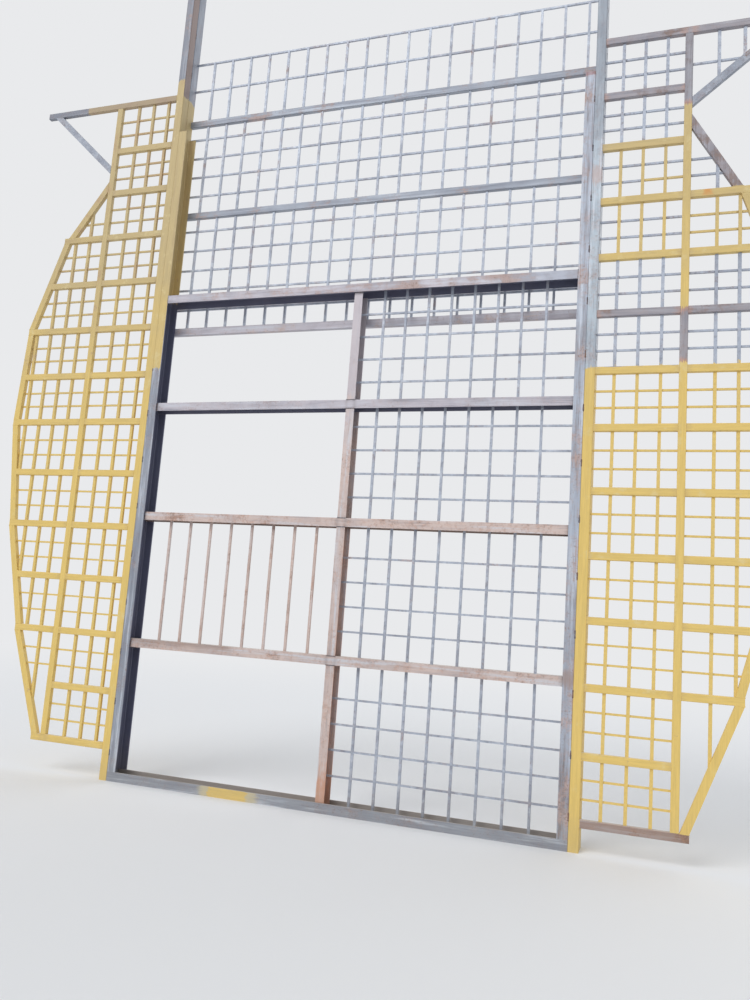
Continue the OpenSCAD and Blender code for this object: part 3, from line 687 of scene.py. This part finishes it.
RUSTY_JOINTS = Patch(ORANGE_RUST, wing_rail_ends, 0.3, reach=0.08, soft=0.06)
GRIMY_JOINTS = Patch(SIDE_BROWN, wing_rail_ends, 0.2, reach=0.06, soft=0.06)
HEATED_RAILS = Patch(HEAT_MARK, gate_rail_ends, 0.35, reach=0.05, soft=0.05)
HEATED_STILE = Patch(HEAT_MARK, stile_joints, 0.25, reach=0.05, soft=0.05)
# Painted shade over dark mill scale: every face of a channel but its front is darkened
SCALE_AND_SHADE_INSIDE = Patch(SCALE_AND_SHADE_STEEL, channel_inside, 0.9)
# Painted shade: the heads of the right posts are darkened towards the top, where the light from above is
# strongest
SHADED_HEAD = Patch(DARK_STEEL, post_head, 0.6, reach=0.9, soft=0.9)
FINISHES = {
    # The gate
    "sill_beam": weathered(
        "sill_steel", LEVEL_GRAIN, GREY_STEEL, DEEP_TAN, stained=0.3, paint=sill_patch,
        patches=[Patch(SILT, channel_inside, 0.85),
                 Patch(THIN_ON_SILL, sill_patch_ends, 0.85, reach=0.1, soft=0.06)],
        chalk=0.8, reach=0.1),
    "lintel": weathered(
        "lintel_steel", LEVEL_GRAIN, LILAC_STEEL, PINK_STAIN, stained=0.6,
        patches=[Patch(COOL_STEEL, lintel_right_end, 0.7, reach=0.5, soft=0.3),
                 # Under the lintel, inside its channel: dark mill scale and painted shade
                 Patch(SCALE_AND_SHADE_STEEL, hollow_side("lintel"), 0.9)],
        chalk=0.3),
    "rail_upper": weathered(
        "cool_rail", LEVEL_GRAIN, LILAC_STEEL, DEEP_TAN, stained=0.3,
        # The underside of the upper rail is painted dark: mill scale and painted shade
        patches=[HEATED_RAILS, Patch(SCALE_AND_SHADE_STEEL, hollow_side("rail_upper"), 0.85)], chalk=0.4),
    "rusty_rails": weathered(
        "rusty_rail", LEVEL_GRAIN, TAN_RUST, DEEP_TAN, stained=0.4,
        patches=[Patch(BROWN_RUST, lower_rail_left_end, 0.4, reach=0.05, soft=0.06), HEATED_RAILS,
                 # Painted shade under the middle rail, inside its channel, laid in a rust brown
                 Patch(BROWN_RUST, hollow_side("rail_middle"), 0.6)],
        deep=UMBER_STEEL, chalk=0.6, streak=0.6, powder=0.4),
    "middle_stile": weathered(
        "rusty_stile", UPRIGHT_GRAIN, TAN_RUST, DEEP_TAN, stained=0.35,
        patches=[Patch(LILAC_STEEL, stile_head, 0.8, reach=0.8, soft=0.6),
                 Patch(ORANGE_RUST, stile_side, 0.7, reach=0.3, soft=0.3),
                 Patch(ORANGE_RUST, stile_foot, 0.7, reach=0.5, soft=0.2), HEATED_STILE],
        deep=UMBER_STEEL, chalk=0.6, streak=0.6, powder=0.35),
    "left_guide": weathered(
        "left_guide_steel", UPRIGHT_GRAIN, GREY_STEEL, PINK_STAIN, stained=0.35, paint=left_guide_paint,
        patches=[SCALE_AND_SHADE_INSIDE], chalk=0.8, streak=0.8),
    "right_guide": weathered(
        "right_guide_steel", UPRIGHT_GRAIN, COOL_STEEL, PINK_STAIN, stained=0.5,
        patches=[SCALE_AND_SHADE_INSIDE, Patch(DEEP_TAN, guide_by_lower_rail, 0.7, reach=0.12, soft=0.08),
                 Patch(PRIMER_RED, primed_end, 0.6, reach=0.02, soft=0.01)],
        deep=UMBER_DEEP, chalk=0.7, streak=0.9, powder=0.2),

    # The posts
    "left_post_front": weathered(
        "left_front_box_steel", UPRIGHT_GRAIN, DARK_STEEL, PINK_STAIN, stained=0.3, paint=left_front_box,
        patches=[Patch(SIDE_BROWN, opening_face(SIDES["left"]), 0.9, reach=0.02, soft=0.01)], chalk=0.2),
    "left_post_rear": weathered(
        "left_rear_box_steel", UPRIGHT_GRAIN, GREY_STEEL, PINK_STAIN, stained=0.25, paint=left_rear_box),
    "right_post_front": weathered(
        "right_front_box_steel", UPRIGHT_GRAIN, PALE_STEEL, PINK_STAIN, stained=0.35, paint=right_box,
        patches=[Patch(PINK_STAIN, post_stain, 0.6, reach=0.25, soft=0.1), SHADED_HEAD],
        chalk=0.7, powder=0.2),
    "right_post_rear": weathered(
        "right_rear_box_steel", UPRIGHT_GRAIN, COOL_STEEL, PINK_STAIN, stained=0.4, paint=right_box,
        patches=[SHADED_HEAD], chalk=0.4),

    # The screen and the lattices of the gate
    "screen_rail_low": weathered(
        "low_screen_rail_steel", LEVEL_GRAIN, LILAC_STEEL, TAN_RUST, stained=0.5,
        chalk=0.4, streak=0.3, powder=0.05),
    "screen_rails": weathered(
        "screen_rail_steel", LEVEL_GRAIN, GREY_STEEL, PINK_STAIN, stained=0.5, chalk=0.3, powder=0.05),
    "bars": weathered(
        "bar_steel", MIXED_GRAIN, COOL_STEEL, PINK_STAIN, stained=0.35, chalk=0.5),
    "left_bay_bars": weathered(
        "tan_bar_steel", UPRIGHT_GRAIN, TAN_RUST, DEEP_TAN, stained=0.5, deep=DEEP_TAN,
        chalk=0.4, streak=0.3, powder=0.35),

    # The wings
    "left_wing_level": weathered(
        "left_level_paint", LEVEL_GRAIN, COOL_STEEL, PINK_STAIN, stained=0.4, paint=painted_all,
        stains=[GRIMY_JOINTS]),
    "left_wing_upright": weathered(
        "left_upright_paint", UPRIGHT_GRAIN, COOL_STEEL, PINK_STAIN, stained=0.4, paint=painted_all,
        thin=0.5),
    "left_wing_bars": weathered(
        "left_bar_paint", MIXED_GRAIN, COOL_STEEL, PINK_STAIN, stained=0.4, paint=painted_all, thin=0.6),
    "left_wing_top_rail": weathered(
        "left_top_rail_paint", LEVEL_GRAIN, DARK_STEEL, PINK_STAIN, stained=0.3, paint=left_top_rail,
        stains=[Patch(SIDE_BROWN, left_top_rail, 0.5, reach=0.3, soft=0.1)], thin=0.55),
    "wing_strut": weathered(
        "strut_steel", MIXED_GRAIN, GREY_STEEL, SIDE_BROWN, stained=0.45),
    "right_wing_rails": weathered(
        "right_rail_paint", LEVEL_GRAIN, UMBER_STEEL, SIDE_BROWN, stained=0.5, paint=right_rails,
        patches=[RUSTY_JOINTS],
        stains=[Patch(ORANGE_STAIN, rail_stain, 0.7, reach=0.06, soft=0.03), GRIMY_JOINTS],
        thin=0.35, faded=RIGHT_FADE_TOP),
    "right_wing_mullion": weathered(
        "right_mullion_paint", UPRIGHT_GRAIN, UMBER_STEEL, SIDE_BROWN, stained=0.5, paint=right_mullion,
        # Painted shade: the head of the mullion is darkened towards the top
        patches=[Patch(DARK_STEEL, post_head, 0.35, reach=0.3, soft=0.3),
                 Patch(ORANGE_RUST, mullion_paint_ends, 0.5, reach=0.1, soft=0.06)],
        thin=0.35, faded=RIGHT_FADE_TOP),
    "right_wing_bars": weathered(
        "right_bar_paint", MIXED_GRAIN, COOL_STEEL, SIDE_BROWN, stained=0.4, paint=right_bars,
        thin=0.4, faded=RIGHT_FADE_TOP),
    "right_wing_edge": weathered(
        "right_edge_paint", UPRIGHT_GRAIN, UMBER_STEEL, SIDE_BROWN, stained=0.7, paint=right_edge_paint,
        faded=RIGHT_FADE_TOP),
    "right_wing_foot": weathered(
        "right_foot_rust", LEVEL_GRAIN, DEEP_TAN, BROWN_RUST, stained=0.5, deep=SIDE_BROWN, powder=0.3),

    # The welds
    "weld": weathered(
        "weld_steel", MIXED_GRAIN, WELD_STEEL, BROWN_RUST, stained=0.6),
    "left_stitches": weathered(
        "left_stitch_steel", MIXED_GRAIN, WELD_STEEL, BROWN_RUST, stained=0.6, paint=left_stitches),
    "right_stitches": weathered(
        "right_stitch_steel", MIXED_GRAIN, WELD_STEEL, BROWN_RUST, stained=0.6, paint=right_stitches),
}
NODE_FINISH = {
    "rail_lower": "rusty_rails", "rail_middle": "rusty_rails",
    "screen_rail_mid": "screen_rails", "screen_rail_high": "screen_rails",
    "left_wing_mullion": "left_wing_upright", "left_wing_edge": "left_wing_upright",
    "left_wing_bottom_rail": "left_wing_level", "left_wing_inner_rails": "left_wing_level",
    "left_wing_outer_rails": "left_wing_level",
    "left_wing_inner_grid": "left_wing_bars", "left_wing_outer_grid": "left_wing_bars",
    "left_wing_strut": "wing_strut", "right_wing_strut": "wing_strut",
    "right_wing_top_rail": "right_wing_rails", "right_wing_inner_rails": "right_wing_rails",
    "right_wing_outer_rails": "right_wing_rails", "right_wing_bottom_rail": "right_wing_foot",
    "right_wing_inner_grid": "right_wing_bars", "right_wing_outer_grid": "right_wing_bars",
    "right_wing_corner_grid": "bars",
}
for name, piece in nodes.items():
    kind = NODE_FINISH.get(name, name)
    if name.startswith(("screen_grid", "gate_grid")):
        kind = "bars"
    for slot in piece.material_slots:
        slot.material = FINISHES[kind]


# Weld beads and tacks, made by Geometry Nodes from seam lines and points

# Sizes in metres, but for the blobs' subdivisions and the range of their own scale
BEAD_INSET = 0.0025
BEAD_RADIUS = 0.0042
TACK_INSET = 0.006
TACK_RADIUS = 0.0055
RIPPLE = 0.0045
STITCH_INSET = 0.0045
STITCH_RADIUS = 0.0075
STITCH_LENGTH = 0.05
STITCH_PITCH = 0.44
RAIL_BEAD_LIFT = 0.003
SEAM_END_GAP = 0.004
BLOB_SUBDIVISIONS = 2
BLOB_SCALES = (0.8, 1.15)

# How points of the solids are told apart, in metres
SAME_POINT = 1e-5
SAME_LEVEL = 0.001
WIDEST_BAR = 0.03
CROSSING_REACH = 0.02
SHORTEST_END_SEAM = 0.03


def weld_tree(name, along_seams):
    """Tree that sets rounded blobs along edges, or on points, with named sizes."""
    tree = bpy.data.node_groups.new(name, "GeometryNodeTree")
    face = tree.interface
    face.new_socket("Geometry", in_out="INPUT", socket_type="NodeSocketGeometry")
    for label in ("Blob Radius", "Ripple Spacing"):
        face.new_socket(label, in_out="INPUT", socket_type="NodeSocketFloat")
    face.new_socket("Seed", in_out="INPUT", socket_type="NodeSocketInt")
    face.new_socket("Finish", in_out="INPUT", socket_type="NodeSocketMaterial")
    face.new_socket("Geometry", in_out="OUTPUT", socket_type="NodeSocketGeometry")
    given = tree.nodes.new("NodeGroupInput").outputs
    out = tree.nodes.new("NodeGroupOutput").inputs
    source = given["Geometry"]
    if along_seams:
        curve = tree.nodes.new("GeometryNodeMeshToCurve")
        ripples = tree.nodes.new("GeometryNodeResampleCurve")
        ripples.mode = "LENGTH"
        tree.links.new(source, curve.inputs["Mesh"])
        tree.links.new(curve.outputs[0], ripples.inputs["Curve"])
        tree.links.new(given["Ripple Spacing"], ripples.inputs["Length"])
        source = ripples.outputs[0]
    blob = tree.nodes.new("GeometryNodeMeshIcoSphere")
    blob.inputs["Subdivisions"].default_value = BLOB_SUBDIVISIONS
    tree.links.new(given["Blob Radius"], blob.inputs["Radius"])
    size = tree.nodes.new("FunctionNodeRandomValue")
    size.data_type = "FLOAT"
    size.inputs[2].default_value, size.inputs[3].default_value = BLOB_SCALES
    turn = tree.nodes.new("FunctionNodeRandomValue")
    turn.data_type = "FLOAT_VECTOR"
    turn.inputs[1].default_value = (math.tau, math.tau, math.tau)
    tree.links.new(given["Seed"], size.inputs["Seed"])
    tree.links.new(given["Seed"], turn.inputs["Seed"])
    put = tree.nodes.new("GeometryNodeInstanceOnPoints")
    tree.links.new(source, put.inputs["Points"])
    tree.links.new(blob.outputs["Mesh"], put.inputs["Instance"])
    tree.links.new(turn.outputs[0], put.inputs["Rotation"])
    tree.links.new(size.outputs[1], put.inputs["Scale"])
    real = tree.nodes.new("GeometryNodeRealizeInstances")
    finish = tree.nodes.new("GeometryNodeSetMaterial")
    tree.links.new(put.outputs[0], real.inputs[0])
    tree.links.new(real.outputs[0], finish.inputs["Geometry"])
    tree.links.new(given["Finish"], finish.inputs["Material"])
    tree.links.new(finish.outputs[0], out["Geometry"])
    return tree


BEAD_TREE = weld_tree("weld_bead", True)
TACK_TREE = weld_tree("weld_tack", False)


def welded(name, tree, verts, edges, radius, spacing, seed, material):
    """Plain mesh of the blobs that a weld tree sets on these seams or points."""
    source = bpy.data.meshes.new(name + "_source")
    source.from_pydata(verts, edges, [])
    holder = bpy.data.objects.new(name + "_source", source)
    bpy.context.scene.collection.objects.link(holder)
    modifier = holder.modifiers.new("weld", "NODES")
    modifier.node_group = tree
    values = {"Blob Radius": radius, "Ripple Spacing": spacing, "Seed": seed, "Finish": material}
    for item in tree.interface.items_tree:
        if item.in_out == "INPUT" and item.name in values:
            modifier[item.identifier] = values[item.name]
    evaluated = holder.evaluated_get(bpy.context.evaluated_depsgraph_get())
    mesh = bpy.data.meshes.new_from_object(evaluated)
    holder.modifiers.remove(modifier)
    bpy.data.objects.remove(holder)
    mesh.name = name
    for polygon in mesh.polygons:
        polygon.use_smooth = True
    piece = bpy.data.objects.new(name, mesh)
    bpy.context.scene.collection.objects.link(piece)
    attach(piece, "root")
    return piece


def islands(node):
    """Lowest corner, highest corner and points of each separate solid in a CAD node."""
    shape = bmesh.new()
    shape.from_mesh(nodes[node].data)
    bmesh.ops.remove_doubles(shape, verts=shape.verts, dist=SAME_POINT)
    seen, found = set(), []
    for start in shape.verts:
        if start in seen:
            continue
        group, queue = [], [start]
        seen.add(start)
        while queue:
            vert = queue.pop()
            group.append(vert.co.copy())
            for edge in vert.link_edges:
                other = edge.other_vert(vert)
                if other not in seen:
                    seen.add(other)
                    queue.append(other)
        low = mathutils.Vector([min(co[i] for co in group) for i in range(3)])
        high = mathutils.Vector([max(co[i] for co in group) for i in range(3)])
        found.append((low, high, group))
    shape.free()
    return found


def middles(values):
    """Middles of the pairs of levels that lie one bar's width apart."""
    levels = sorted({round(value, 4) for value in values})
    return [(low + high) / 2 for low, high in zip(levels, levels[1:]) if high - low < WIDEST_BAR]


def bar_tacks(node):
    """Points beside each crossing of a lattice node, just behind the uprights' fronts."""
    points = []
    for low, high, group in islands(node):
        uprights = middles([co.x for co in group if high.z - co.z < SAME_LEVEL])
        crosses = middles([co.z for co in group if min(co.x - low.x, high.x - co.x) < SAME_LEVEL])
        y = min(co.y for co in group) + TACK_INSET
        for z in crosses:
            for x in uprights:
                near = [co for co in group
                        if abs(co.z - z) < CROSSING_REACH and abs(co.x - x) < CROSSING_REACH]
                if near:
                    half = max(abs(co.x - x) for co in near)
                    points += [(x - half, y, z), (x + half, y, z)]
    return points


def level_seam(x0, x1, y, z):
    return [(x0, y, z), (x1, y, z)]


def upright_seam(x, y, z0, z1):
    return [(x, y, z0), (x, y, z1)]


def frame_seams():
    """Where stile, rails, lintel and guides meet."""
    seams = []
    stile_low, stile_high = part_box("middle_stile")
    for name in RAIL_NAMES:
        low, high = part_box(name)
        for z in (low.z, high.z):
            seams.append(level_seam(stile_low.x, stile_high.x, low.y, z))
        for x in (-LIP_X, LIP_X):
            seams.append(upright_seam(x, low.y - RAIL_BEAD_LIFT, low.z + SEAM_END_GAP, high.z - SEAM_END_GAP))
    seams.append(level_seam(stile_low.x, stile_high.x, stile_low.y, LINTEL_Z))
    lintel_low, lintel_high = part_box("lintel")
    for x in (-LIP_X, LIP_X):
        seams.append(upright_seam(x, FRONT_Y + BEAD_INSET, lintel_low.z, lintel_high.z))
    return seams


def post_seams(side):
    """Stitches between guide and post, and between the two boxes of a post."""
    seams = []
    guide_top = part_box(side + "_guide")[1].z
    post_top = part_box(side + "_post_front")[1].z
    sign = SIDES[side]
    z = STITCH_PITCH / 2
    while z + STITCH_LENGTH < post_top:
        top = z + STITCH_LENGTH
        if top < guide_top:
            seams.append(upright_seam(sign * POST_IN_X, FRONT_Y + STITCH_INSET, z, top))
        else:
            seams.append(upright_seam(sign * (POST_IN_X + STITCH_INSET), BOX_JOINT_Y, z, top))
        seams.append(upright_seam(sign * (POST_OUT_X - STITCH_INSET), BOX_JOINT_Y, z, top))
        z += STITCH_PITCH
    return seams


def wing_seams(side):
    """Both ends of every inner rail, the inner end of the others, and the ends of the leaning tubes."""
    seams = []
    y = FRONT_Y + BEAD_INSET
    for part in ("inner_rails", "outer_rails", "top_rail", "bottom_rail"):
        for low, high, _ in islands(f"{side}_wing_{part}"):
            inner_end = high.x if side == "left" else low.x
            ends = (low.x, high.x) if part == "inner_rails" else (inner_end,)
            for x in ends:
                seams.append(upright_seam(x, y, low.z + SEAM_END_GAP, high.z - SEAM_END_GAP))
    for low, high, group in islands(f"{side}_wing_edge"):
        for z in (low.z, high.z):
            level = [co.x for co in group if abs(co.z - z) < SAME_LEVEL]
            if max(level) - min(level) > SHORTEST_END_SEAM:
                seams.append(level_seam(min(level), max(level), y, z))
    return seams


def joined(seams):
    verts = [point for line in seams for point in line]
    return verts, [(i, i + 1) for i in range(0, len(verts), 2)]


def add_beads(name, seams, seed, finish, radius=BEAD_RADIUS):
    verts, edges = joined(seams)
    return welded(name, BEAD_TREE, verts, edges, radius, RIPPLE, seed, FINISHES[finish])


def add_tacks(name, lattices, seed, finish):
    points = [point for node in lattices for point in bar_tacks(node)]
    return welded(name, TACK_TREE, points, [], TACK_RADIUS, RIPPLE, seed, FINISHES[finish])


add_beads("gate_frame_welds", frame_seams(), 3, "weld")
add_beads("left_post_welds", post_seams("left"), 5, "left_stitches", STITCH_RADIUS)
add_beads("right_post_welds", post_seams("right"), 7, "right_stitches", STITCH_RADIUS)
add_beads("left_wing_welds", wing_seams("left"), 11, "left_wing_upright")
add_beads("right_wing_welds", wing_seams("right"), 13, "right_wing_rails")
add_tacks("gate_tacks", ["gate_grid_bottom", "gate_grid_lower", "gate_grid_upper", "gate_grid_top"],
          17, "bars")
add_tacks("screen_tacks", ["screen_grid_low", "screen_grid_mid", "screen_grid_top"],
          19, "bars")
add_tacks("left_wing_tacks", ["left_wing_inner_grid", "left_wing_outer_grid"],
          23, "left_wing_bars")
add_tacks("right_wing_tacks", ["right_wing_inner_grid", "right_wing_outer_grid", "right_wing_corner_grid"],
          29, "right_wing_bars")


# Studio

# Lengths and places in metres, the camera's turn in degrees, lens and sensor in millimetres
FLOOR_RADIUS = 60.0
FLOOR_FADE = (6.0, 22.0)
SKY_STRENGTH = 0.62
CAMERA_PLACE = (2.528, -6.583, 1.570)
CAMERA_TURN = (98.186, -4.096, 18.198)
LENS_MM = 29.88
SENSOR_MM = 36.0


def seen_directly(tree):
    """1 on rays that show the surroundings, 0 on rays that light the object."""
    ray = tree.nodes.new("ShaderNodeLightPath").outputs
    mirrored = math_node(tree, "MAXIMUM", ray["Is Glossy Ray"], ray["Is Transmission Ray"])
    return math_node(tree, "MAXIMUM", ray["Is Camera Ray"], mirrored)


def add_floor():
    """Pale round floor that turns into the backdrop colour far out."""
    bpy.ops.mesh.primitive_circle_add(vertices=96, radius=FLOOR_RADIUS, fill_type="NGON")
    floor = bpy.context.object
    floor.name = "studio_floor"
    material = bpy.data.materials.new("studio_floor")
    material.use_nodes = True
    tree = material.node_tree
    shader = tree.nodes["Principled BSDF"]
    shader.inputs["Base Color"].default_value = FLOOR_GREY
    shader.inputs["Roughness"].default_value = 0.9
    glow = tree.nodes.new("ShaderNodeEmission")
    glow.inputs["Color"].default_value = BACKDROP
    place = tree.nodes.new("ShaderNodeTexCoord")
    reach = tree.nodes.new("ShaderNodeVectorMath")
    reach.operation = "LENGTH"
    tree.links.new(place.outputs["Object"], reach.inputs[0])
    far = step(tree, reach.outputs["Value"], *FLOOR_FADE)
    blend = tree.nodes.new("ShaderNodeMixShader")
    tree.links.new(math_node(tree, "MULTIPLY", far, seen_directly(tree)), blend.inputs[0])
    tree.links.new(shader.outputs[0], blend.inputs[1])
    tree.links.new(glow.outputs[0], blend.inputs[2])
    tree.links.new(blend.outputs[0], tree.nodes["Material Output"].inputs[0])
    floor.data.materials.append(material)


def add_world():
    """Soft even light, with the backdrop colour wherever the sky itself is seen."""
    world = bpy.data.worlds.new("studio")
    bpy.context.scene.world = world
    world.use_nodes = True
    tree = world.node_tree
    light = tree.nodes["Background"]
    light.inputs["Color"].default_value = SKY_LIGHT
    light.inputs["Strength"].default_value = SKY_STRENGTH
    seen = tree.nodes.new("ShaderNodeBackground")
    seen.inputs["Color"].default_value = BACKDROP
    seen.inputs["Strength"].default_value = 1.0
    blend = tree.nodes.new("ShaderNodeMixShader")
    tree.links.new(seen_directly(tree), blend.inputs[0])
    tree.links.new(light.outputs[0], blend.inputs[1])
    tree.links.new(seen.outputs[0], blend.inputs[2])
    tree.links.new(blend.outputs[0], tree.nodes["World Output"].inputs[0])


def add_sun(name, strength, angle, direction):
    """Wide soft sun that shines along a direction."""
    lamp = bpy.data.lights.new(name, "SUN")
    lamp.energy = strength
    lamp.angle = math.radians(angle)
    holder = bpy.data.objects.new(name, lamp)
    holder.rotation_euler = mathutils.Vector(direction).to_track_quat("-Z", "Y").to_euler()
    bpy.context.scene.collection.objects.link(holder)


def add_camera():
    """Camera low on the right of the gate, turned a little, looking up at it."""
    lens = bpy.data.cameras.new("photo_camera")
    lens.lens = LENS_MM
    lens.sensor_width = SENSOR_MM
    camera = bpy.data.objects.new("photo_camera", lens)
    turn = mathutils.Euler([math.radians(angle) for angle in CAMERA_TURN])
    camera.matrix_world = mathutils.Matrix.Translation(CAMERA_PLACE) @ turn.to_matrix().to_4x4()
    bpy.context.scene.collection.objects.link(camera)
    bpy.context.scene.camera = camera


add_floor()
add_world()
add_sun("key_sun", strength=1.5, angle=35, direction=(0.35, 0.75, -0.75))
add_sun("back_sun", strength=0.6, angle=50, direction=(-0.4, -0.8, -0.6))
add_camera()
bpy.context.scene.view_settings.view_transform = "Standard"
